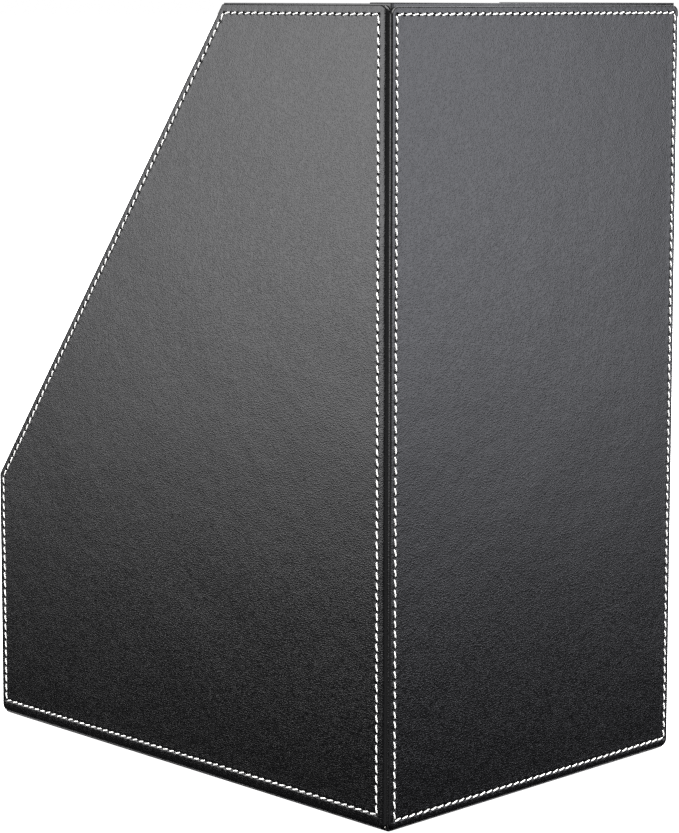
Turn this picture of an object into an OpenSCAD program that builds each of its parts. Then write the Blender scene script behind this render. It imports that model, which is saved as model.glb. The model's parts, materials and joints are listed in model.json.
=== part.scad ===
// Magazine file holder: a leather-covered box of fibreboard with two upright slots.
//
// Frame: +Z up, origin at the bottom centre. The tall back faces +Y, the low front
// faces -Y, and the two side walls face +X (right) and -X (left).
//
// Every outer wall is a sandwich. From the outside in it is a stitched leather panel
// on a card stiffener, a thin leather wrap, the fibreboard, and a velvet lining.
// The wrap also runs over the wall's rim and a little way down the inside.

/* [Overall size] */
// Width across the two side panels
total_w = 172; // [140:1:220]
// Depth from the front panel to the back panel
total_d = 246; // [220:1:280]
// Height of the back
total_h = 320; // [300:1:350]
// Depth of the level top edge, measured from the back panel's face
top_d = 95; // [70:0.5:130]
// Height of the low front wall
front_h = 109.5; // [80:0.5:160]

/* [Boards] */
// Thickness of the side, front and back boards
board_t = 4; // [3:0.5:5]
// Thickness of the base board
base_t = 5; // [4:0.5:6]
// Thickness of the divider board
divider_t = 3; // [2.5:0.5:4]
// Depth of the grooves that hold the divider
groove_d = 1.5; // [1:0.25:2]

/* [Coverings] */
// Thickness of the leather wrap over the boards
wrap_t = 0.8; // [0.6:0.1:1]
// Height of the wrap's turn-in below the rim, inside the slots
turn_in = 18; // [12:1:25]
// Thickness of a stitched outer panel
panel_t = 1.6; // [1.4:0.1:2.2]
// Thickness of the outer panel's leather
skin_t = 0.9; // [0.7:0.1:1]
// Thickness of the velvet lining
lining_t = 0.8; // [0.6:0.1:1]
// Thickness of the felt under the base
felt_t = 1; // [0.8:0.1:2]
// Distance from the felt's edge to the outer panels' faces
felt_inset = 3.5; // [2:0.5:10]
// Distance that the side and front panels stop short of the walls' edges
setback = 0.6; // [0.4:0.1:2]
// Distance that the back panel stops short of the back's top edge
back_setback = 1.2; // [0.4:0.1:2]

/* [Stitching] */
// Distance from one stitch to the next
stitch_pitch = 4; // [3:0.25:6]
// Visible length of one stitch
stitch_len = 3.4; // [2:0.1:5]
// Width of the thread
thread_w = 0.7; // [0.5:0.1:1]
// Depth of the channel that the stitches lie in
channel_d = 0.35; // [0.2:0.05:0.4]
// Distance from a side panel's top edge to its stitch line
seam_top = 3.5; // [2:0.1:5]
// Distance from a side panel's sloping edge to its stitch line
seam_slope = 3; // [2:0.1:5]
// Distance from a side panel's front edge to its stitch line
seam_front = 3.1; // [2:0.1:5]
// Distance from a side panel's rear edge to its stitch line
seam_rear = 4.9; // [2:0.1:6]
// Distance from a side panel's bottom edge to its stitch line
seam_low = 5.4; // [2:0.1:6]
// Distance from the back and front panels' ends to their stitch lines
seam_end = 2.7; // [2:0.1:5]
// Distance from the back and front panels' top edges to their stitch lines
seam_crest = 2.9; // [2:0.1:5]
// Distance from the back and front panels' bottom edges to their stitch lines
seam_foot = 3.8; // [2:0.1:5]

/* [Brads] */
// Length of one brad
brad_len = 18; // [12:1:20]
// Width of a brad's flat shank
brad_w = 1.2; // [1:0.1:1.5]
// Thickness of a brad's flat shank
brad_t = 1; // [0.8:0.1:1.2]

/* [Hidden] */
$fn = 48;

fibreboard = [0.55, 0.42, 0.28];
black_leather = [0.06, 0.06, 0.065];
black_velvet = [0.03, 0.03, 0.035];
grey_card = [0.5, 0.5, 0.48];
white_thread = [0.93, 0.93, 0.9];
steel = [0.7, 0.7, 0.72];

// Distances from the middle plane to each layer of a side wall, from the outside in
side_face = total_w / 2;
side_wrap = side_face - panel_t;
side_out = side_wrap - wrap_t;
side_in = side_out - board_t;
side_lined = side_in - lining_t;

// The same layers for the front and back walls
end_face = total_d / 2;
end_wrap = end_face - panel_t;
end_out = end_wrap - wrap_t;
end_in = end_out - board_t;
end_lined = end_in - lining_t;

// Layers of the divider, out from the middle plane
div_board = divider_t / 2;
div_lined = div_board + lining_t;

// Heights
wall_z = felt_t;
floor_z = wall_z + base_t;
lined_z = floor_z + lining_t;
board_top = total_h - wrap_t;
front_board_top = front_h - wrap_t;

// A cut runs past the solid's faces by this much
past = 1;

// ---- The side profile -------------------------------------------------------

// The sloping edge runs from the front wall's top corner up to the level top edge.
slope_top_y = end_face - top_d;
slope_dy = slope_top_y + end_face;
slope_dz = total_h - front_h;
slope_len = sqrt(slope_dy * slope_dy + slope_dz * slope_dz);

// Places on the sloping edge moved inwards by a distance: Z at a Y, and Y at a Z
function slope_z(y, inward) =
    front_h + (y + end_face) * slope_dz / slope_dy - inward * slope_len / slope_dy;
function slope_y(z, inward) =
    -end_face + (z - front_h) * slope_dy / slope_dz + inward * slope_len / slope_dz;

// Outline of a side wall, or of one of its layers, as [Y, Z] points
function side_outline(rear, top, inward, front, bottom) = [
    [rear, bottom],
    [rear, top],
    [slope_y(top, inward), top],
    [front, slope_z(front, inward)],
    [front, bottom]
];

// Stands a [Y, Z] drawing upright and gives it a thickness along +X from x
module along_x(x, thickness) {
    translate([x, 0, 0])
        rotate([90, 0, 90])
            linear_extrude(thickness) children();
}

// Stands an [X, Z] drawing upright and gives it a thickness along +Y from y
module along_y(y, thickness) {
    translate([0, y + thickness, 0])
        rotate([90, 0, 0])
            linear_extrude(thickness) children();
}

// A block between two opposite corners
module block(low, high) {
    translate(low) cube(high - low);
}

// Makes the left part from the right one
module left() {
    mirror([1, 0, 0]) children();
}

// ---- Brads ------------------------------------------------------------------

brad_rows = [0.12, 0.5, 0.88];
brad_half = [brad_w / 2, brad_t / 2];
end_mid = (end_out + end_in) / 2;
side_mid = (side_out + side_in) / 2;
base_mid = wall_z + base_t / 2;

// One brad driven along -Y from a board's outer face
module brad_from_back(x, y, z) {
    block([x - brad_half[1], y - brad_len, z - brad_half[0]], [x + brad_half[1], y, z + brad_half[0]]);
}

// One brad driven along -X from a side board's outer face
module brad_from_side(y, z) {
    block([side_out - brad_len, y - brad_half[1], z - brad_half[1]],
        [side_out, y + brad_half[1], z + brad_half[1]]);
}

// All brads on the right half of the box
module right_brads() {
    for (row = brad_rows) {
        brad_from_back(side_mid, end_out, wall_z + row * (board_top - wall_z));
        brad_from_side(-end_mid, wall_z + base_t + row * (front_board_top - floor_z));
        brad_from_side((row - 0.5) * 2 * end_in, base_mid);
    }
    for (end = [-1, 1])
        at_end(end)
            brad_from_back(side_in / 2, end_out, base_mid);
}

// Keeps a piece at the back, or turns it round to the front
module at_end(end) {
    mirror([0, end < 0 ? 1 : 0, 0]) children();
}

module corner_brads() {
    color(steel) {
        right_brads();
        left() right_brads();
    }
}

// ---- Boards -----------------------------------------------------------------

module base_board() {
    color(fibreboard)
        difference() {
            block([-side_in, -end_in, wall_z], [side_in, end_in, floor_z]);
            divider_slab();
            corner_brads();
        }
}

module back_board() {
    color(fibreboard)
        difference() {
            block([-side_out, end_in, wall_z], [side_out, end_out, board_top]);
            divider_slab();
            corner_brads();
        }
}

module front_board() {
    color(fibreboard)
        difference() {
            block([-side_in, -end_out, wall_z], [side_in, -end_in, front_board_top]);
            divider_slab();
            corner_brads();
        }
}

module right_side_board() {
    color(fibreboard)
        difference() {
            along_x(side_in, board_t)
                polygon(side_outline(end_in, board_top, wrap_t, -end_out, wall_z));
            corner_brads();
        }
}

module left_side_board() {
    left() right_side_board();
}

// The divider stands in grooves in the base, back and front boards. Above the front
// wall its edge steps back by the thickness of its wrap.
module divider_slab() {
    tongue_top = front_board_top - groove_d;
    edge = -end_in + wrap_t;
    along_x(-div_board, divider_t)
        polygon([
            [end_in + groove_d, floor_z - groove_d],
            [end_in + groove_d, board_top],
            [slope_y(board_top, wrap_t), board_top],
            [edge, slope_z(edge, wrap_t)],
            [edge, front_board_top],
            [-end_in, front_board_top],
            [-end_in, tongue_top],
            [-end_in - groove_d, tongue_top],
            [-end_in - groove_d, floor_z - groove_d]
        ]);
}

module divider_board() {
    color(fibreboard) divider_slab();
}

// ---- Leather wraps ----------------------------------------------------------

// The part of a wall's inner face that the velvet covers, below the wrap's turn-in
module lined_area(front) {
    polygon(side_outline(end_in + past, total_h - turn_in, turn_in, front, -past));
}

module right_side_wrap() {
    color(black_leather) {
        // Outer face
        along_x(side_out, wrap_t)
            polygon(side_outline(end_wrap, total_h, 0, -end_wrap, wall_z));
        // Rim over the board's top, sloping and front edges
        along_x(side_in, board_t)
            difference() {
                polygon(side_outline(end_in, total_h, 0, -end_wrap, wall_z));
                polygon(side_outline(end_in + past, board_top, wrap_t, -end_out, wall_z - past));
            }
        // Turn-in on the inner face, down to the front wall's rim
        along_x(side_lined, lining_t)
            difference() {
                polygon(side_outline(end_in, total_h, 0, -end_wrap, wall_z));
                lined_area(-end_face);
                translate([-end_face - past, 0])
                    square([end_face - end_in + past, front_h]);
            }
    }
}

module left_side_wrap() {
    left() right_side_wrap();
}

module back_wrap() {
    color(black_leather) {
        block([-side_out, end_out, wall_z], [side_out, end_wrap, total_h]);
        block([-side_out, end_in, board_top], [side_out, end_out, total_h]);
        for (end = [0, 1])
            mirror([end, 0, 0])
                block([div_lined, end_lined, total_h - turn_in], [side_lined, end_in, total_h]);
    }
}

module front_wrap() {
    color(black_leather) {
        block([-side_in, -end_wrap, wall_z], [side_in, -end_out, front_h]);
        block([-side_in, -end_out, front_board_top], [side_in, -end_in, front_h]);
        for (end = [0, 1])
            mirror([end, 0, 0])
                block([div_lined, -end_in, front_h - turn_in], [side_lined, -end_lined, front_h]);
    }
}

module divider_wrap() {
    color(black_leather) {
        along_x(-div_board, divider_t)
            difference() {
                polygon(side_outline(end_in, total_h, 0, -end_in, front_h));
                polygon(side_outline(end_in + past, board_top, wrap_t, -end_in + wrap_t, front_h - past));
            }
        for (end = [0, 1])
            mirror([end, 0, 0])
                along_x(div_board, lining_t)
                    difference() {
                        polygon(side_outline(end_in, total_h, 0, -end_in, floor_z));
                        lined_area(-end_face);
                    }
    }
}

// ---- Stitched outer panels --------------------------------------------------

// Radius of a panel's square corners
corner_r = 3;
// Gap between a panel's edge and the panel that it meets
panel_gap = 0.2;
// Distance that the side panels run past the front wrap
panel_lap = 0.4;
// Distance that the back panel stops short of the side panels' faces
back_inset = 0.5;

panel_z = wall_z + setback;
panel_rear = end_wrap - panel_gap;
panel_front = -end_wrap - panel_lap;
back_half_w = side_face - back_inset;
front_half_w = side_wrap - panel_gap;
back_top = total_h - back_setback;
front_top = front_h - setback;

// Distances of a side panel's seam from its rear, top, sloping, front and bottom edges
side_seam = [seam_rear, seam_top, seam_slope, seam_front, seam_low];
// Distances of the back or front panel's seam from its ends, top and bottom
end_seam = [seam_end, seam_crest, seam_foot];
all_round = [1, 1, 1, 1, 1];

// Moves each of a list of distances further inwards
function widened(insets, more) = [for (inset = insets) inset + more];

// Corners of a side panel, moved inwards by a distance from each edge
function side_panel_corners(insets) =
    side_outline(panel_rear - insets[0], total_h - setback - insets[1], setback + insets[2],
        panel_front + insets[3], panel_z + insets[4]);

// Side panel's outline, moved inwards by a distance from each edge
module side_panel_area(insets) {
    difference() {
        polygon(side_panel_corners(insets));
        corner_cut([panel_front + insets[3], panel_z + insets[4]], corner_r - insets[3]);
    }
}

// Rounds the lower left corner of an outline
module corner_cut(corner, r) {
    if (r > 0)
        translate(corner)
            difference() {
                translate([-past, -past]) square(r + past);
                translate([r, r]) circle(r);
            }
}

// Rectangle with four rounded corners
module rounded_area(half_w, low, high, r) {
    difference() {
        translate([-half_w, low]) square([2 * half_w, high - low]);
        for (x = [0, 1], z = [0, 1])
            translate([0, z * (low + high)])
                mirror([x, 0])
                    mirror([0, z])
                        corner_cut([-half_w, low], r);
    }
}

// Outline of the back or front panel, moved inwards by a distance from each edge
module end_panel_area(half_w, top, insets) {
    rounded_area(half_w - insets[0], panel_z + insets[2], top - insets[1], max(corner_r - insets[0], 0));
}

// Leather of a side panel, with its edges turned round its card and a channel for the stitches
module side_leather() {
    difference() {
        along_x(side_wrap, panel_t) side_panel_area(0 * all_round);
        right_panel_card();
        along_x(side_face - channel_d, channel_d + past)
            difference() {
                side_panel_area(widened(side_seam, -thread_w / 2));
                side_panel_area(widened(side_seam, thread_w / 2));
            }
    }
}

module right_panel_leather() {
    color(black_leather) side_leather();
}

module left_panel_leather() {
    left() right_panel_leather();
}

module right_panel_card() {
    color(grey_card)
        along_x(side_wrap, panel_t - skin_t)
            side_panel_area(skin_t * all_round);
}

module left_panel_card() {
    left() right_panel_card();
}

// Leather of the back or front panel, built facing +Y
module end_leather(half_w, top) {
    difference() {
        along_y(end_wrap, panel_t) end_panel_area(half_w, top, 0 * all_round);
        end_card(half_w, top);
        along_y(end_face - channel_d, channel_d + past)
            difference() {
                end_panel_area(half_w, top, widened(end_seam, -thread_w / 2));
                end_panel_area(half_w, top, widened(end_seam, thread_w / 2));
            }
    }
}

module end_card(half_w, top) {
    along_y(end_wrap, panel_t - skin_t)
        end_panel_area(half_w, top, skin_t * all_round);
}

module back_panel_leather() {
    color(black_leather) end_leather(back_half_w, back_top);
}

module front_panel_leather() {
    color(black_leather) mirror([0, 1, 0]) end_leather(front_half_w, front_top);
}

module back_panel_card() {
    color(grey_card) end_card(back_half_w, back_top);
}

module front_panel_card() {
    color(grey_card) mirror([0, 1, 0]) end_card(front_half_w, front_top);
}

// ---- Stitching --------------------------------------------------------------

// Evenly spaced stitches from one point to another
module stitch_run(from, to) {
    run = to - from;
    count = round(norm(run) / stitch_pitch);
    for (i = [0 : count - 1])
        translate(from + run * (i + 0.5) / count)
            rotate(atan2(run[1], run[0]))
                square([stitch_len, thread_w], center = true);
}

// Stitches all round an outline
module stitch_loop(points) {
    for (i = [0 : len(points) - 1])
        stitch_run(points[i], points[(i + 1) % len(points)]);
}

module right_stitching() {
    color(white_thread)
        along_x(side_face - channel_d, channel_d)
            stitch_loop(side_panel_corners(side_seam));
}

module left_stitching() {
    left() right_stitching();
}

// Stitching of the back or front panel, built facing +Y
module end_stitching(half_w, top) {
    x = half_w - seam_end;
    low = panel_z + seam_foot;
    high = top - seam_crest;
    along_y(end_face - channel_d, channel_d)
        stitch_loop([[-x, low], [x, low], [x, high], [-x, high]]);
}

module back_stitching() {
    color(white_thread) end_stitching(back_half_w, back_top);
}

module front_stitching() {
    color(white_thread) mirror([0, 1, 0]) end_stitching(front_half_w, front_top);
}

// ---- Velvet linings and felt ------------------------------------------------

module right_slot_side_lining() {
    color(black_velvet)
        along_x(side_lined, lining_t)
            polygon(side_outline(end_in, total_h - turn_in, turn_in, -end_in, floor_z));
}

module right_slot_divider_lining() {
    color(black_velvet)
        along_x(div_board, lining_t)
            polygon(side_outline(end_in, total_h - turn_in, turn_in, -end_in, floor_z));
}

module right_slot_back_lining() {
    color(black_velvet)
        block([div_lined, end_lined, floor_z], [side_lined, end_in, total_h - turn_in]);
}

module right_slot_front_lining() {
    color(black_velvet)
        block([div_lined, -end_in, floor_z], [side_lined, -end_lined, front_h - turn_in]);
}

module right_slot_floor_lining() {
    color(black_velvet)
        block([div_lined, -end_lined, floor_z], [side_lined, end_lined, lined_z]);
}

module left_slot_side_lining() {
    left() right_slot_side_lining();
}

module left_slot_divider_lining() {
    left() right_slot_divider_lining();
}

module left_slot_back_lining() {
    left() right_slot_back_lining();
}

module left_slot_front_lining() {
    left() right_slot_front_lining();
}

module left_slot_floor_lining() {
    left() right_slot_floor_lining();
}

module base_felt() {
    color(black_velvet)
        linear_extrude(felt_t)
            rounded_area(side_face - felt_inset, felt_inset - end_face, end_face - felt_inset, corner_r);
}

base_board();
back_board();
front_board();
right_side_board();
left_side_board();
divider_board();
corner_brads();
base_felt();
back_wrap();
front_wrap();
right_side_wrap();
left_side_wrap();
divider_wrap();
back_panel_card();
front_panel_card();
right_panel_card();
left_panel_card();
back_panel_leather();
front_panel_leather();
right_panel_leather();
left_panel_leather();
back_stitching();
front_stitching();
right_stitching();
left_stitching();
right_slot_side_lining();
right_slot_divider_lining();
right_slot_back_lining();
right_slot_front_lining();
right_slot_floor_lining();
left_slot_side_lining();
left_slot_divider_lining();
left_slot_back_lining();
left_slot_front_lining();
left_slot_floor_lining();
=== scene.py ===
"""Looks of the leather-covered magazine file holder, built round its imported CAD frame."""
import json
import math

import bmesh
import bpy
import numpy as np
from mathutils import Matrix, Vector, geometry, noise


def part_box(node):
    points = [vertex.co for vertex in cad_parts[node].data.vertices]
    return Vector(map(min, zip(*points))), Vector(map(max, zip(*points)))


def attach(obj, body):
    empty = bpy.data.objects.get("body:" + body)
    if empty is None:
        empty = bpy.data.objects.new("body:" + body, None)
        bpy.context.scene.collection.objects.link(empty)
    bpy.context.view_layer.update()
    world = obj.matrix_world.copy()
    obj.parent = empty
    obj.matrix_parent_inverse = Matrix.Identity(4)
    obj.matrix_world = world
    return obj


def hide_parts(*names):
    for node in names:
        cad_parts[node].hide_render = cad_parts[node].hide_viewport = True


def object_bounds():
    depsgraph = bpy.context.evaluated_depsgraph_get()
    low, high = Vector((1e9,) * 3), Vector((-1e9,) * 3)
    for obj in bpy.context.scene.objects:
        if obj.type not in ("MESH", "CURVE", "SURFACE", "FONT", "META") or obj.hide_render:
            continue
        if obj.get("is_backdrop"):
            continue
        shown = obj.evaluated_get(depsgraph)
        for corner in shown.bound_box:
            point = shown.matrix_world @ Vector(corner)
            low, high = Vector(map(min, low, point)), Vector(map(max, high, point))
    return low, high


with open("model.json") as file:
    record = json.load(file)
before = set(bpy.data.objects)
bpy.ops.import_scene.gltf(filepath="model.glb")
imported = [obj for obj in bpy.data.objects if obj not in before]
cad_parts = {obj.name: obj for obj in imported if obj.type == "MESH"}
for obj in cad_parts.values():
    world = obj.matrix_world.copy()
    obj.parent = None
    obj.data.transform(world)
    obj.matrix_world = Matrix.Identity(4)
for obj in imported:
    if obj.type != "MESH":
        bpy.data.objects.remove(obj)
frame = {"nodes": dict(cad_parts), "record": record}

CAD_LOW, CAD_HIGH = (Vector(corner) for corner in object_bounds())
MM = 0.001
BODY = "root"

# ---- Camera, floor and light ------------------------------------------------

SENSOR = 36.0
LENS = 114.59
SHIFT_Y = -0.1399
CAMERA_AZIMUTH = 135.595
CAMERA_ELEVATION = 6.588
CAMERA_ROLL = 0.07
CAMERA_DISTANCE = 1.0071
# The point that the camera aims at, measured from the middle of the near vertical corner
AIM_RIGHT = -0.0192
AIM_UP = 0.0484


def add_camera():
    """The photograph's viewpoint: from behind and to the right, just above the top edge."""
    azimuth, elevation = math.radians(CAMERA_AZIMUTH), math.radians(CAMERA_ELEVATION)
    towards = Vector((math.sin(azimuth) * math.cos(elevation),
                      -math.cos(azimuth) * math.cos(elevation),
                      math.sin(elevation)))
    right = Vector((math.cos(azimuth), math.sin(azimuth), 0))
    up = towards.cross(right)
    aim = Vector((CAD_HIGH.x, CAD_HIGH.y, CAD_HIGH.z / 2)) + right * AIM_RIGHT + up * AIM_UP
    tilt = math.radians(CAMERA_ROLL)
    right, up = (right * math.cos(tilt) + up * math.sin(tilt),
                 up * math.cos(tilt) - right * math.sin(tilt))
    data = bpy.data.cameras.new("camera")
    data.sensor_width = SENSOR
    data.lens = LENS
    data.shift_y = SHIFT_Y
    camera = bpy.data.objects.new("camera", data)
    camera.matrix_world = Matrix.Translation(aim + towards * CAMERA_DISTANCE) @ \
        Matrix((right, up, towards)).transposed().to_4x4()
    bpy.context.scene.collection.objects.link(camera)
    bpy.context.scene.camera = camera


# Below, the height of a direction is the sine of its elevation
ROOM_LIGHT = 0.1
# Heights where the room's light starts and where it is full
SKY_EDGE = (-0.25, -0.12)
# For each soft box round the object: azimuth, half its width and softness of its sides in degrees,
# heights where its lower edge starts and is full, height of its top, half its top's fade, and light
SIDE_BOXES = [
    (60, 20.5, 7, (-0.235, -0.085), 0.25, 0.1, (4.55, 4.55, 4.63)),
    (203, 28.5, 6, (-0.25, -0.10), 0.22, 0.08, (3.5, 3.55, 3.83)),
    (315, 60, 10, (-0.7, -0.5), -0.05, 0.04, (1.2, 1.2, 1.22)),
    (135, 34, 8, (-0.7, -0.5), -0.03, 0.04, (0.3, 0.3, 0.31)),
]
# Axis, cosines of the angles from it where the fade ends and starts, and strength
UPPER_BOXES = [
    ((0.41, 0.41, 0.82), (0.7, 0.92), 8.0),
    ((-0.7, -0.15, 0.68), (0.88, 0.96), 9.0),
]


def add_world():
    """A dim room with soft boxes round it and above it. The camera itself sees plain white."""
    world = bpy.data.worlds.new("studio")
    bpy.context.scene.world = world
    world.use_nodes = True
    nodes, links = world.node_tree.nodes, world.node_tree.links
    nodes.clear()
    way = nodes.new("ShaderNodeTexCoord").outputs["Generated"]
    split = nodes.new("ShaderNodeSeparateXYZ")
    links.new(way, split.inputs[0])
    height = split.outputs["Z"]
    level_way = vector_math(nodes, links, "MULTIPLY", way, (1, 1, 0))
    level_way = vector_math(nodes, links, "NORMALIZE", level_way)

    low, high = SKY_EDGE
    glow = smooth_step(nodes, links, height, low, high, ROOM_LIGHT)
    light = vector_math(nodes, links, "SCALE", (1, 1, 1), scale=glow)
    for azimuth, half_width, softness, floor_edge, top, top_edge, colour in SIDE_BOXES:
        axis = level_direction(azimuth)
        near = vector_math(nodes, links, "DOT_PRODUCT", level_way, axis)
        inner, outer = (math.cos(math.radians(half_width + turn)) for turn in (-softness, softness))
        level = smooth_step(nodes, links, near, outer, inner, 1)
        level = times(nodes, links, level, smooth_step(nodes, links, height, *floor_edge, 1))
        clear, full = top + top_edge, top - top_edge
        level = times(nodes, links, level, smooth_step(nodes, links, height, clear, full, 1))
        box = vector_math(nodes, links, "SCALE", colour, scale=level)
        light = vector_math(nodes, links, "ADD", light, box)
    for axis, edge, strength in UPPER_BOXES:
        near = vector_math(nodes, links, "DOT_PRODUCT", way, Vector(axis).normalized())
        level = smooth_step(nodes, links, near, *edge, strength)
        box = vector_math(nodes, links, "SCALE", (1, 1, 1), scale=level)
        light = vector_math(nodes, links, "ADD", light, box)

    lit = nodes.new("ShaderNodeBackground")
    seen = nodes.new("ShaderNodeBackground")
    seen.inputs["Color"].default_value = (1, 1, 1, 1)
    path = nodes.new("ShaderNodeLightPath")
    pick = nodes.new("ShaderNodeMixShader")
    out = nodes.new("ShaderNodeOutputWorld")
    links.new(light, lit.inputs["Color"])
    links.new(path.outputs["Is Camera Ray"], pick.inputs[0])
    links.new(lit.outputs[0], pick.inputs[1])
    links.new(seen.outputs[0], pick.inputs[2])
    links.new(pick.outputs[0], out.inputs["Surface"])


def level_direction(azimuth):
    """The level direction at an azimuth, measured as the camera's is."""
    return (math.sin(math.radians(azimuth)), -math.cos(math.radians(azimuth)), 0)


def connect(links, source, socket):
    """Links an output to a socket, or sets the socket's value."""
    if isinstance(source, bpy.types.NodeSocket):
        links.new(source, socket)
    else:
        socket.default_value = source


def vector_math(nodes, links, operation, first, second=None, scale=None):
    """A vector operation's result."""
    node = nodes.new("ShaderNodeVectorMath")
    node.operation = operation
    connect(links, first, node.inputs[0])
    if second is not None:
        connect(links, second, node.inputs[1])
    if scale is not None:
        connect(links, scale, node.inputs["Scale"])
    return node.outputs["Value" if operation == "DOT_PRODUCT" else "Vector"]


def times(nodes, links, first, second):
    """The product of two values."""
    node = nodes.new("ShaderNodeMath")
    node.operation = "MULTIPLY"
    connect(links, first, node.inputs[0])
    connect(links, second, node.inputs[1])
    return node.outputs[0]


def smooth_step(nodes, links, value, start, end, level):
    """Rises smoothly from 0 at the start to a level at the end."""
    if start > end:
        start, end, first, last = end, start, level, 0
    else:
        first, last = 0, level
    node = nodes.new("ShaderNodeMapRange")
    node.interpolation_type = "SMOOTHSTEP"
    links.new(value, node.inputs["Value"])
    for name, number in (("From Min", start), ("From Max", end), ("To Min", first), ("To Max", last)):
        node.inputs[name].default_value = number
    return node.outputs[0]


FLOOR_REACH = 30.0
FLOOR_CORNERS = ((-1, -1), (1, -1), (1, 1), (-1, 1))


def add_floor():
    """A wide pale floor that no reflection on the object picks up."""
    mesh = bpy.data.meshes.new("floor")
    mesh.from_pydata([(x * FLOOR_REACH, y * FLOOR_REACH, 0) for x, y in FLOOR_CORNERS], [], [(0, 1, 2, 3)])
    floor = bpy.data.objects.new("floor", mesh)
    bpy.context.scene.collection.objects.link(floor)
    material, _, _, shader = new_material("pale_floor", (0.86, 0.86, 0.86), 0.9)
    shader.inputs["Specular IOR Level"].default_value = 0.0
    shader.inputs["Emission Color"].default_value = (1, 1, 1, 1)
    shader.inputs["Emission Strength"].default_value = 1.0
    mesh.materials.append(material)
    floor.visible_glossy = False
    floor.visible_diffuse = False
    floor.visible_shadow = False
    floor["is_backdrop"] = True


# ---- Materials --------------------------------------------------------------

def new_material(name, colour, roughness):
    """A material with one Principled shader, and its node tree."""
    material = bpy.data.materials.new(name)
    material.use_nodes = True
    nodes, links = material.node_tree.nodes, material.node_tree.links
    shader = nodes["Principled BSDF"]
    shader.inputs["Base Color"].default_value = (*colour, 1)
    shader.inputs["Roughness"].default_value = roughness
    return material, nodes, links, shader


def object_place(nodes, links):
    """Object coordinates in millimetres."""
    place = nodes.new("ShaderNodeTexCoord")
    scale = nodes.new("ShaderNodeVectorMath")
    scale.operation = "SCALE"
    scale.inputs["Scale"].default_value = 1000
    links.new(place.outputs["Object"], scale.inputs[0])
    return scale.outputs[0]


def noise_texture(nodes, links, place, per_mm, detail=3.0, roughness=0.5):
    """Value noise with a given number of features in a millimetre."""
    texture = nodes.new("ShaderNodeTexNoise")
    texture.inputs["Scale"].default_value = per_mm
    texture.inputs["Detail"].default_value = detail
    texture.inputs["Roughness"].default_value = roughness
    links.new(place, texture.inputs["Vector"])
    return texture.outputs["Fac"]


def remapped(nodes, links, value, low, high, new_low, new_high):
    """A value's range moved to a new range."""
    remap = nodes.new("ShaderNodeMapRange")
    links.new(value, remap.inputs["Value"])
    limits = {"From Min": low, "From Max": high, "To Min": new_low, "To Max": new_high}
    for name, number in limits.items():
        remap.inputs[name].default_value = number
    return remap.outputs[0]


def bump(nodes, links, height, distance, strength, below=None):
    """A bump of a height in metres, on top of another bump."""
    node = nodes.new("ShaderNodeBump")
    node.inputs["Distance"].default_value = distance
    node.inputs["Strength"].default_value = strength
    links.new(height, node.inputs["Height"])
    if below is not None:
        links.new(below, node.inputs["Normal"])
    return node.outputs["Normal"]


def two_tones(nodes, links, value, dark, light):
    """A colour between two tones, chosen by a value from 0 to 1."""
    mix = nodes.new("ShaderNodeMix")
    mix.data_type = "RGBA"
    links.new(value, mix.inputs["Factor"])
    mix.inputs["A"].default_value = (*dark, 1)
    mix.inputs["B"].default_value = (*light, 1)
    return mix.outputs["Result"]


# Leather: how far the pebbles are pushed out of their grid, where a pebble's crown is flat and the
# painted shade of the creases ends, and the heights of its bumps
PEBBLE_PUSH = 0.7
CROWN_EDGE = 0.42
WAVE_HEIGHT, MOTTLE_HEIGHT, CROWN_HEIGHT, PORE_HEIGHT = 0.06 * MM, 0.018 * MM, 0.021 * MM, 0.004 * MM


def leather(name, dark, light, grain_mm=0.85, roughness=(0.13, 0.18)):
    """Coated leather: pebbles with fine creases between them, on a slightly uneven ground. The creases
    carry painted shade.
    """
    material, nodes, links, shader = new_material(name, dark, roughness[1])
    place = object_place(nodes, links)
    warp = nodes.new("ShaderNodeTexNoise")
    warp.inputs["Scale"].default_value = 0.9
    warp.inputs["Detail"].default_value = 2
    links.new(place, warp.inputs["Vector"])
    push = nodes.new("ShaderNodeVectorMath")
    push.operation = "MULTIPLY_ADD"
    links.new(warp.outputs["Color"], push.inputs[0])
    push.inputs[1].default_value = (PEBBLE_PUSH, PEBBLE_PUSH, PEBBLE_PUSH)
    links.new(place, push.inputs[2])
    pebbles = nodes.new("ShaderNodeTexVoronoi")
    pebbles.feature = "DISTANCE_TO_EDGE"
    pebbles.inputs["Scale"].default_value = 1 / grain_mm
    links.new(push.outputs[0], pebbles.inputs["Vector"])
    crown_and_crease_shade = smooth_step(nodes, links, pebbles.outputs["Distance"], 0.0, CROWN_EDGE, 1)
    pores = noise_texture(nodes, links, place, 5.0, 2.0)
    waves = noise_texture(nodes, links, place, 0.12, 3.0)
    mottle = noise_texture(nodes, links, place, 0.5, 3.0, 0.6)
    base = bump(nodes, links, waves, WAVE_HEIGHT, 1.0)
    base = bump(nodes, links, mottle, MOTTLE_HEIGHT, 1.0, base)
    base = bump(nodes, links, crown_and_crease_shade, CROWN_HEIGHT, 1.0, base)
    base = bump(nodes, links, pores, PORE_HEIGHT, 1.0, base)
    links.new(base, shader.inputs["Normal"])
    # Painted shade: the base colour is darker in the creases between pebbles than on their crowns
    links.new(two_tones(nodes, links, crown_and_crease_shade, dark, light), shader.inputs["Base Color"])
    gloss = remapped(nodes, links, mottle, 0.3, 0.7, *roughness)
    links.new(gloss, shader.inputs["Roughness"])
    shader.inputs["Specular IOR Level"].default_value = 0.5
    return material


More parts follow.
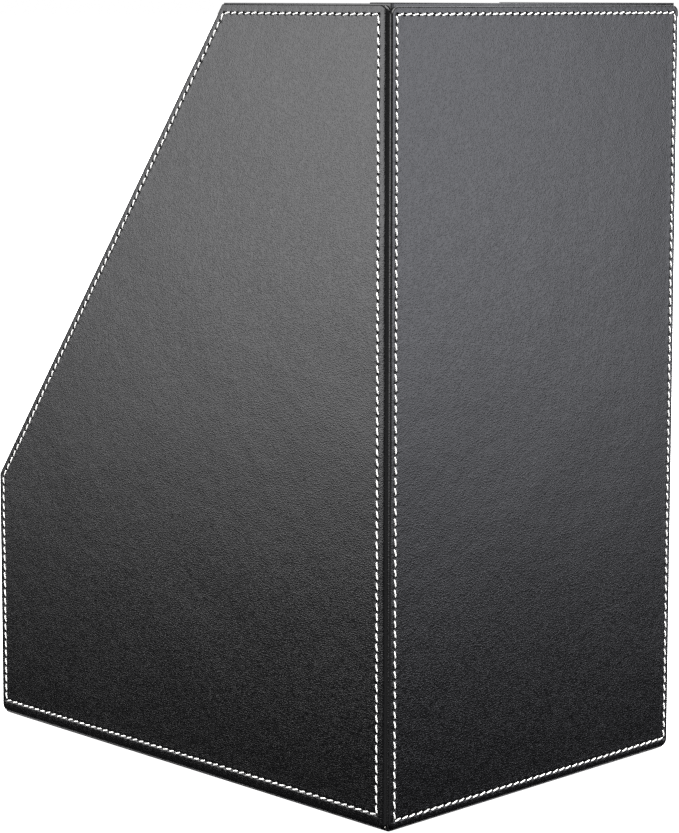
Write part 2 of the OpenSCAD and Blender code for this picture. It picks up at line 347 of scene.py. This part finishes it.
def velvet():
    """Short dark pile with brushed patches and a pale sheen at grazing angles."""
    material, nodes, links, shader = new_material("black_velvet", (0.010, 0.010, 0.012), 0.9)
    place = object_place(nodes, links)
    pile = noise_texture(nodes, links, place, 3.0, 3.0, 0.7)
    brushed = noise_texture(nodes, links, place, 0.035, 3.0, 0.55)
    links.new(two_tones(nodes, links, remapped(nodes, links, brushed, 0.35, 0.65, 0, 1),
                        (0.010, 0.010, 0.011), (0.018, 0.018, 0.020)), shader.inputs["Base Color"])
    links.new(bump(nodes, links, pile, 0.06 * MM, 0.8), shader.inputs["Normal"])
    shader.inputs["Sheen Weight"].default_value = 0.2
    shader.inputs["Sheen Roughness"].default_value = 0.4
    shader.inputs["Sheen Tint"].default_value = (0.55, 0.55, 0.6, 1)
    shader.inputs["Specular IOR Level"].default_value = 0.15
    return material


def felt():
    """Matted black fibres."""
    material, nodes, links, shader = new_material("black_felt", (0.014, 0.014, 0.015), 0.95)
    place = object_place(nodes, links)
    fibres = noise_texture(nodes, links, place, 1.6, 5.0, 0.75)
    links.new(two_tones(nodes, links, fibres, (0.008, 0.008, 0.009), (0.03, 0.03, 0.032)),
              shader.inputs["Base Color"])
    links.new(bump(nodes, links, fibres, 0.3 * MM, 0.7), shader.inputs["Normal"])
    shader.inputs["Sheen Weight"].default_value = 0.2
    shader.inputs["Specular IOR Level"].default_value = 0.1
    return material


def thread():
    """Off-white twisted thread with a soft lustre."""
    material, nodes, links, shader = new_material("off_white_thread", (0.93, 0.92, 0.89), 0.55)
    place = object_place(nodes, links)
    fibres = noise_texture(nodes, links, place, 4.0, 2.0)
    links.new(two_tones(nodes, links, fibres, (0.86, 0.85, 0.82), (0.97, 0.965, 0.94)),
              shader.inputs["Base Color"])
    links.new(bump(nodes, links, fibres, 0.04 * MM, 0.5), shader.inputs["Normal"])
    shader.inputs["Sheen Weight"].default_value = 0.15
    return material


def fibreboard():
    """Pressed wood fibres."""
    material, nodes, links, shader = new_material("fibreboard", (0.45, 0.31, 0.18), 0.85)
    place = object_place(nodes, links)
    fibres = noise_texture(nodes, links, place, 1.2, 6.0, 0.7)
    links.new(two_tones(nodes, links, fibres, (0.33, 0.21, 0.12), (0.56, 0.41, 0.26)),
              shader.inputs["Base Color"])
    links.new(bump(nodes, links, fibres, 0.08 * MM, 0.5), shader.inputs["Normal"])
    return material


def card():
    """Recycled grey board with flecks."""
    material, nodes, links, shader = new_material("grey_card", (0.38, 0.37, 0.34), 0.9)
    place = object_place(nodes, links)
    flecks = noise_texture(nodes, links, place, 2.5, 4.0, 0.8)
    links.new(two_tones(nodes, links, flecks, (0.26, 0.25, 0.23), (0.48, 0.47, 0.43)),
              shader.inputs["Base Color"])
    links.new(bump(nodes, links, flecks, 0.04 * MM, 0.4), shader.inputs["Normal"])
    return material


def wire():
    """Drawn steel, lightly scratched along its length."""
    material, nodes, links, shader = new_material("brad_wire", (0.6, 0.6, 0.62), 0.35)
    shader.inputs["Metallic"].default_value = 1.0
    place = object_place(nodes, links)
    scratches = noise_texture(nodes, links, place, 6.0, 3.0)
    links.new(remapped(nodes, links, scratches, 0.3, 0.7, 0.28, 0.45), shader.inputs["Roughness"])
    return material


# Leather tones: darker in the creases as painted shade, and on the pebbles' crowns
PANEL_CREASE_SHADE, PANEL_CROWN_TONE = (0.0025, 0.0025, 0.0027), (0.0036, 0.0036, 0.0039)
MATERIALS = {
    "panel_leather": leather("panel_leather", PANEL_CREASE_SHADE, PANEL_CROWN_TONE),
    "leather_wrap": leather("leather_wrap", PANEL_CREASE_SHADE, PANEL_CROWN_TONE, 0.8),
    "velvet_lining": velvet(),
    "base_felt": felt(),
    "white_thread": thread(),
    "fibreboard": fibreboard(),
    "stiffener_card": card(),
    "brad_steel": wire(),
}

# ---- Pieces -----------------------------------------------------------------


def add_piece(name, points, faces, slot, *replaced):
    """A smooth-shaded piece of the object that stands for CAD nodes."""
    mesh = bpy.data.meshes.new(name)
    mesh.from_pydata([tuple(point) for point in points], [], faces)
    work = bmesh.new()
    work.from_mesh(mesh)
    bmesh.ops.recalc_face_normals(work, faces=work.faces)
    work.to_mesh(mesh)
    work.free()
    mesh.shade_smooth()
    mesh.materials.append(MATERIALS[slot])
    piece = bpy.data.objects.new(name, mesh)
    bpy.context.scene.collection.objects.link(piece)
    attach(piece, BODY)
    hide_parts(*replaced)
    return piece


# Each outer face seen from outside: its right, its up, and outwards
SIDES = {
    "right": (Vector((0, 1, 0)), Vector((0, 0, 1)), Vector((1, 0, 0))),
    "left": (Vector((0, -1, 0)), Vector((0, 0, 1)), Vector((-1, 0, 0))),
    "back": (Vector((-1, 0, 0)), Vector((0, 0, 1)), Vector((0, 1, 0))),
    "front": (Vector((1, 0, 0)), Vector((0, 0, 1)), Vector((0, -1, 0))),
}


def to_space(side, flat, height):
    """Points drawn on a face, and their heights above the middle plane, in space, in metres."""
    right, up, out = (np.array(axis) for axis in SIDES[side])
    flat = np.asarray(flat)
    return (flat[:, :1] * right + flat[:, 1:2] * up + np.reshape(height, (-1, 1)) * out) * MM


SHORTEST_EDGE = 10
LEAST_TURN = 0.01


def node_outline(node, side):
    """The sharp corners of a node's outline on a face, anticlockwise, in millimetres."""
    right, up, _ = SIDES[side]
    data = frame["nodes"][node].data
    flat = [Vector((vertex.co.dot(right), vertex.co.dot(up))) / MM for vertex in data.vertices]
    hull = [flat[i] for i in geometry.convex_hull_2d(flat)]
    edges = [(hull[i - 1], hull[i]) for i in range(len(hull))
             if (hull[i] - hull[i - 1]).length > SHORTEST_EDGE]
    corners = []
    for (a, b), (c, d) in zip(edges, edges[1:] + edges[:1]):
        if (b - a).cross(d - c) / ((b - a).length * (d - c).length) > LEAST_TURN:
            corners.append(np.array(crossing(a, b, c, d)))
    return corners


def crossing(a, b, c, d):
    """Where the lines a-b and c-d cross."""
    along, other = b - a, d - c
    share = (c - a).cross(other) / along.cross(other)
    return a + along * share


def edge_kind(start, end, side):
    """Which edge of a panel this is, from the way that it faces."""
    out = np.array([end[1] - start[1], start[0] - end[0]]) / np.linalg.norm(end - start)
    if out[1] > 0.99:
        return "top" if side in ("right", "left") else "crest"
    if out[1] < -0.99:
        return "bottom" if side in ("right", "left") else "foot"
    if side in ("back", "front"):
        return "end"
    if abs(out[1]) > 0.01:
        return "slope"
    towards_back = out[0] * SIDES[side][0].y > 0
    return "rear" if towards_back else "front"


def inset_corners(corners, insets):
    """The outline with each edge moved inwards by its own distance. Edge i starts at corner i."""
    count = len(corners)
    lines = []
    for i in range(count):
        start, end = corners[i], corners[(i + 1) % count]
        inward = np.array([start[1] - end[1], end[0] - start[0]]) / np.linalg.norm(end - start)
        lines.append((Vector(start + inward * insets[i]), Vector(end + inward * insets[i])))
    return [np.array(crossing(*lines[i - 1], *lines[i])) for i in range(count)]


CORNER_STEPS = 6


def ring_points(corners, radii, counts):
    """A closed ring on an outline with rounded corners. Edge i has counts[i] steps in every ring."""
    total = len(corners)
    arcs = []
    for i in range(total):
        here = corners[i]
        back = (corners[i - 1] - here) / np.linalg.norm(corners[i - 1] - here)
        ahead = (corners[(i + 1) % total] - here) / np.linalg.norm(corners[(i + 1) % total] - here)
        half = math.acos(np.clip(back @ ahead, -1, 1)) / 2
        reach = radii[i] / math.tan(half)
        middle = here + (back + ahead) / np.linalg.norm(back + ahead) * radii[i] / math.sin(half)
        first, last = here + back * reach - middle, here + ahead * reach - middle
        turn = math.atan2(first[0] * last[1] - first[1] * last[0], first @ last)
        angles = np.linspace(0, turn, CORNER_STEPS + 1)
        spin = np.stack([np.cos(angles), np.sin(angles)], axis=1)
        arcs.append(middle + np.stack([spin[:, 0] * first[0] - spin[:, 1] * first[1],
                                       spin[:, 1] * first[0] + spin[:, 0] * first[1]], axis=1))
    ring = []
    for i in range(total):
        ring.extend(arcs[i])
        start, end = arcs[i][-1], arcs[(i + 1) % total][0]
        for share in np.linspace(0, 1, counts[i] + 1)[1:-1]:
            ring.append(start + (end - start) * share)
    return np.array(ring)


def ring_heights(heights, counts):
    """The height at each of a ring's points. Each corner turns from one edge's height to the next's."""
    levels = []
    for i, height in enumerate(heights):
        levels.extend(np.linspace(heights[i - 1], height, CORNER_STEPS + 1))
        levels.extend([height] * (counts[i] - 1))
    return np.array(levels)


# ---- Stitched panels --------------------------------------------------------

STITCH_PITCH = 4.0
STITCH_LENGTH = 3.5
STITCH_SLANT = 13.0
THREAD_RADIUS = 0.31
SEAM_INSET = {"top": 3.5, "slope": 3.0, "front": 3.1, "bottom": 5.4, "rear": 4.9,
              "crest": 2.9, "end": 2.7, "foot": 3.8}
CORNER_RADIUS = 3.0
SHARP_RADIUS = 0.7
# How far in from the edge the leather starts to round over, and how far it drops there
EDGE_WIDTH = {"top": 0.3, "slope": 0.5, "front": 0.7, "bottom": 1.4, "rear": 3.2,
              "crest": 0.55, "end": 1.0, "foot": 1.2}
EDGE_DROP = {"top": 0.3, "slope": 0.5, "front": 0.7, "bottom": 1.3, "rear": 1.5,
             "crest": 0.14, "end": 1.0, "foot": 1.1}
EDGE_STEPS = 7
POINTS_PER_STITCH = 8
# Distances from the seam to the rings beside it
SEAM_RINGS = [-1.6, -1.2, -0.9, -0.65, -0.45, -0.3, -0.15, 0,
              0.15, 0.3, 0.45, 0.65, 0.9, 1.2, 1.6, 2.4, 4.0, 6.0]
LEAST_RING_GAP = 0.08
LEAST_CORNER_RADIUS = 0.12
# Insets of the two rings of the hidden back
BACK_INSETS = (0.5, 0.05)
FILL_STEP = 4.5
FILL_MARGIN = 2.5
# The seam's relief and the waves fade out over this height below the face
RELIEF_FADE = 0.35
# The seam's relief: depths or heights, distances from the seam, and widths
CHANNEL_DEPTH, CHANNEL_WIDTH = 0.05, 0.4
SHOULDER_HEIGHT, SHOULDER_PLACE, SHOULDER_WIDTH = 0.015, 1.3, 0.6
HOLE_DEPTH, HOLE_LENGTH = 0.6, 0.3
PUCKER_DEPTH, PUCKER_PLACE, PUCKER_WIDTH = 0.02, 0.8, 0.8
# Length and height of the long waves and of the short ones, whose seed is shifted
LONG_WAVE, LONG_HEIGHT = 38, 0.06
SHORT_WAVE, SHORT_HEIGHT, SHORT_SHIFT = 14, 0.015, 7


def seam_lines(side, node):
    """The ends of each straight run of stitches on a panel, and its number of stitches."""
    corners = node_outline(node, side)
    total = len(corners)
    kinds = [edge_kind(corners[i], corners[(i + 1) % total], side) for i in range(total)]
    seam = inset_corners(corners, [SEAM_INSET[kind] for kind in kinds])
    runs = []
    for i in range(total):
        start, end = seam[i], seam[(i + 1) % total]
        runs.append((start, end, round(np.linalg.norm(end - start) / STITCH_PITCH)))
    return corners, kinds, runs


def seam_relief(flat, runs):
    """How far the leather stands above its flat face near the stitches, in millimetres."""
    nearest = np.full(len(flat), np.inf)
    phase = np.zeros(len(flat))
    for start, end, count in runs:
        run = end - start
        length = np.linalg.norm(run)
        share = np.clip((flat - start) @ run / length ** 2, 0, 1)
        gap = np.linalg.norm(flat - start - share[:, None] * run, axis=1)
        closer = gap < nearest
        nearest[closer] = gap[closer]
        phase[closer] = share[closer] * count
    to_hole = (phase - np.round(phase)) * STITCH_PITCH
    channel = -CHANNEL_DEPTH * np.exp(-(nearest / CHANNEL_WIDTH) ** 2)
    shoulder = SHOULDER_HEIGHT * np.exp(-((nearest - SHOULDER_PLACE) / SHOULDER_WIDTH) ** 2)
    hole = -HOLE_DEPTH * np.exp(-(nearest / CHANNEL_WIDTH) ** 2 - (to_hole / HOLE_LENGTH) ** 2)
    pucker = (-PUCKER_DEPTH * np.cos(2 * np.pi * phase) *
              np.exp(-((nearest - PUCKER_PLACE) / PUCKER_WIDTH) ** 2))
    return channel + shoulder + hole + pucker


def slow_waves(flat, seed):
    """Gentle unevenness of leather over card, in millimetres."""
    waves = []
    for u, v in flat:
        long = noise.noise(Vector((u / LONG_WAVE, v / LONG_WAVE, seed))) * LONG_HEIGHT
        short = noise.noise(Vector((u / SHORT_WAVE, v / SHORT_WAVE, seed + SHORT_SHIFT))) * SHORT_HEIGHT
        waves.append(long + short)
    return np.array(waves)


def add_panel(side, seed):
    """One stitched leather panel: rounded edges, a seam channel with needle holes, a soft face."""
    node = side + "_panel_leather"
    corners, kinds, runs = seam_lines(side, node)
    low, high = (Vector(corner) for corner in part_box(node))
    out = SIDES[side][2]
    back, face = sorted((abs(low.dot(out)) / MM, abs(high.dot(out)) / MM))
    total = len(corners)
    seams = [SEAM_INSET[kind] for kind in kinds]
    radii = []
    for i in range(total):
        meeting = {kinds[i - 1], kinds[i]}
        radii.append(SHARP_RADIUS if "slope" in meeting else CORNER_RADIUS)
    counts = [count * POINTS_PER_STITCH for _, _, count in runs]

    # Rings from the hidden back, round the edge and over the seam: each edge's inset and height
    rings = [([inset] * total, [back] * total) for inset in BACK_INSETS]
    edges, drops = (np.array([sizes[kind] for kind in kinds]) for sizes in (EDGE_WIDTH, EDGE_DROP))
    arcs = 2 * np.arctan2(drops, edges)
    bends = edges / np.sin(arcs)
    for step in range(EDGE_STEPS + 1):
        lean = arcs * (1 - step / EDGE_STEPS)
        rings.append((edges - bends * np.sin(lean), face - bends * (1 - np.cos(lean))))
    for number, distance in enumerate(SEAM_RINGS, 1):
        outermost = edges + LEAST_RING_GAP * number
        rings.append((np.maximum(np.array(seams) + distance, outermost), [face] * total))

    flats, levels = [], []
    for insets, heights in rings:
        ring_radii = [max(radii[i] - (insets[i - 1] + insets[i]) / 2, LEAST_CORNER_RADIUS)
                      for i in range(total)]
        flats.append(ring_points(inset_corners(corners, insets), ring_radii, counts))
        levels.append(ring_heights(heights, counts))
    size = len(flats[0])
    faces = [tuple(reversed(range(size)))]
    for ring in range(len(rings) - 1):
        for i in range(size):
            j = (i + 1) % size
            below, above = ring * size, (ring + 1) * size
            faces.append((below + i, below + j, above + j, above + i))

    # The face inside the last ring
    inner = flats[-1]
    fill = interior_grid(corners, [seam + SEAM_RINGS[-1] + FILL_MARGIN for seam in seams])
    points, _, triangles, sources, _, _ = geometry.delaunay_2d_cdt(
        [Vector(point) for point in np.concatenate([inner, fill])], [], [tuple(range(size))], 1, 1e-6)
    first = (len(rings) - 1) * size
    index = {}
    extra = []
    for i, source in enumerate(sources):
        if source and source[0] < size:
            index[i] = first + source[0]
        else:
            index[i] = len(rings) * size + len(extra)
            extra.append(points[i])
    faces.extend(tuple(index[i] for i in triangle) for triangle in triangles)
    flats.append(np.array([tuple(point) for point in extra]))
    levels.append(np.full(len(extra), face))

    flat = np.concatenate(flats)
    height = np.concatenate(levels)
    on_face = np.clip((height - (face - RELIEF_FADE)) / RELIEF_FADE, 0, 1)
    height = height + on_face * (seam_relief(flat, runs) + slow_waves(flat, seed))
    name = side + "_leather_panel"
    return add_piece(name, to_space(side, flat, height), faces, "panel_leather", node)


def interior_grid(corners, insets):
    """Grid points inside an outline, away from its edges."""
    inner = inset_corners(corners, insets)
    low, high = np.min(inner, axis=0), np.max(inner, axis=0)
    grid = []
    for u in np.arange(low[0], high[0], FILL_STEP):
        for v in np.arange(low[1], high[1], FILL_STEP):
            point = np.array([u, v])
            if all(np.cross(inner[(i + 1) % len(inner)] - inner[i], point - inner[i]) > 0
                   for i in range(len(inner))):
                grid.append(point)
    return np.array(grid)


# ---- Stitches ---------------------------------------------------------------

STITCH_RINGS = 13
STITCH_SIDES = 10
STITCH_PLIES = 3
PLY_DEPTH = 0.10
TWIST_PER_MM = 1.0 / 1.3
# How high a stitch's middle bows up, how far its ends dip, how much they narrow, and its flattening
STITCH_RISE, STITCH_DIP, END_NARROWING, FLATTENING = 0.06, 0.66, 0.25, 0.92
# Standard deviations of a stitch's slant in degrees, its place in millimetres and its length
SLANT_SPREAD, PLACE_SPREAD, LENGTH_SPREAD = 2.0, 0.04, 0.015


def stitch_template():
    """One stitch along +u: a twisted thread that bows up between two needle holes."""
    along = np.linspace(-1, 1, STITCH_RINGS)
    points = []
    for share in along:
        u = share * STITCH_LENGTH / 2
        rise = STITCH_RISE - STITCH_DIP * abs(share) ** 4
        narrow = 1 - END_NARROWING * abs(share) ** 6
        for side in range(STITCH_SIDES):
            angle = 2 * math.pi * side / STITCH_SIDES
            ply = 1 + PLY_DEPTH * math.cos(STITCH_PLIES * angle - 2 * math.pi * u * TWIST_PER_MM)
            radius = THREAD_RADIUS * narrow * ply
            points.append((u, radius * math.cos(angle), rise + radius * FLATTENING * math.sin(angle)))
    faces = []
    for ring in range(STITCH_RINGS - 1):
        for side in range(STITCH_SIDES):
            other = (side + 1) % STITCH_SIDES
            a, b = ring * STITCH_SIDES, (ring + 1) * STITCH_SIDES
            faces.append((a + side, b + side, b + other, a + other))
    faces.append(tuple(range(STITCH_SIDES)))
    faces.append(tuple(reversed(range(len(points) - STITCH_SIDES, len(points)))))
    return np.array(points), faces


def add_stitching(side, seed):
    """Every stitch round one panel."""
    draw = np.random.default_rng(seed)
    panel = side + "_panel_leather"
    _, _, runs = seam_lines(side, panel)
    low, high = (Vector(corner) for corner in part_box(panel))
    face = max(abs(low.dot(SIDES[side][2])), abs(high.dot(SIDES[side][2]))) / MM
    shape, shape_faces = stitch_template()
    points, faces = [], []
    for start, end, count in runs:
        run = end - start
        heading = math.atan2(run[1], run[0])
        pitch = np.linalg.norm(run) / count
        for i in range(count):
            angle = heading + math.radians(STITCH_SLANT + draw.normal(0, SLANT_SPREAD))
            middle = start + run * (i + 0.5) / count + draw.normal(0, PLACE_SPREAD, 2)
            stretch = pitch / STITCH_PITCH * (1 + draw.normal(0, LENGTH_SPREAD))
            u = shape[:, 0] * stretch
            flat = np.stack([u * math.cos(angle) - shape[:, 1] * math.sin(angle),
                             u * math.sin(angle) + shape[:, 1] * math.cos(angle)], axis=1) + middle
            offset = len(points) * len(shape)
            points.append(to_space(side, flat, face + shape[:, 2]))
            faces.extend(tuple(index + offset for index in shape_face) for shape_face in shape_faces)
    name, node = side + "_stitches", side + "_stitching"
    return add_piece(name, np.concatenate(points), faces, "white_thread", node)


# ---- Wraps, linings and felt ------------------------------------------------

WELD = 1e-6
FLAT_ANGLE = math.radians(1)
LEAST_SHARP = math.radians(50)
SMOOTH_ANGLE = math.radians(35)
ROUND_STEPS = 6


def softened(node, slot, *roundings):
    """A copy of a CAD node, rounded in turn to each radius at the edges chosen for it."""
    source = frame["nodes"][node].data
    work = bmesh.new()
    work.from_mesh(source)
    bmesh.ops.remove_doubles(work, verts=work.verts, dist=WELD)
    bmesh.ops.dissolve_limit(work, angle_limit=FLAT_ANGLE, verts=work.verts, edges=work.edges)
    for radius, chosen in roundings:
        edges = []
        for edge in work.edges:
            sharp = len(edge.link_faces) == 2 and edge.calc_face_angle_signed(0) > LEAST_SHARP
            if sharp and chosen(edge):
                edges.append(edge)
        bmesh.ops.bevel(work, geom=edges, offset=radius, offset_type="OFFSET", segments=ROUND_STEPS,
                        profile=0.5, affect="EDGES", clamp_overlap=True)
        work.normal_update()
    mesh = bpy.data.meshes.new(node + "_soft")
    work.to_mesh(mesh)
    work.free()
    mesh.shade_smooth()
    mesh.set_sharp_from_angle(angle=SMOOTH_ANGLE)
    mesh.materials.append(MATERIALS[slot])
    piece = bpy.data.objects.new(node + "_soft", mesh)
    bpy.context.scene.collection.objects.link(piece)
    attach(piece, BODY)
    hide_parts(node)
    return piece


def rim_edge(edge):
    """True for the long edges where a wrap turns over a wall's rim."""
    ways = [face.normal for face in edge.link_faces]
    areas = [face.calc_area() for face in edge.link_faces]
    over_rim = any(way.z > 0.4 or (way.y < -0.95 and abs(other.x) > 0.9)
                   for way, other in (ways, ways[::-1]))
    beside_wall = any(max(abs(way.x), abs(way.y)) > 0.95 for way in ways)
    return over_rim and beside_wall and edge.calc_length() > 2.5 * MM and max(areas) > 20 * MM * MM


def upright_corner(edge):
    """True for a wrap's upright outer corners."""
    middle = (edge.verts[0].co + edge.verts[1].co) / 2
    return all(abs(face.normal.z) < 0.1 and face.normal.dot(middle) > 0.05 for face in edge.link_faces)


# ---- The whole object -------------------------------------------------------

# The rims' rounding is kept under the wrap's thickness, so that the wraps' meshes stay clean
WRAP_CORNER_RADIUS, RIM_RADIUS = 0.6 * MM, 0.75 * MM
LINING_RADIUS, FELT_RADIUS = 0.3 * MM, 0.35 * MM

for seed, side in enumerate(SIDES):
    add_panel(side, seed * 3.7)
    add_stitching(side, seed + 11)

for name in ("back_wrap", "front_wrap", "right_side_wrap", "left_side_wrap", "divider_wrap"):
    softened(name, "leather_wrap", (WRAP_CORNER_RADIUS, upright_corner), (RIM_RADIUS, rim_edge))

for slot_side in ("right", "left"):
    for part in ("side", "divider", "back", "front", "floor"):
        lining = "{}_slot_{}_lining".format(slot_side, part)
        softened(lining, "velvet_lining", (LINING_RADIUS, lambda edge: True))
softened("base_felt", "base_felt", (FELT_RADIUS, lambda edge: True))

for entry in frame["record"]["subparts"]:
    cad = frame["nodes"][entry["node"]]
    cad.data.materials.clear()
    cad.data.materials.append(MATERIALS[entry["material_slot"]])

add_camera()
add_world()
add_floor()
# Denoising would smooth away the leather's grain, which is about as fine as one pixel
bpy.context.scene.cycles.use_denoising = False
bpy.context.scene.view_settings.view_transform = "Standard"
bpy.context.scene.view_settings.look = "None"
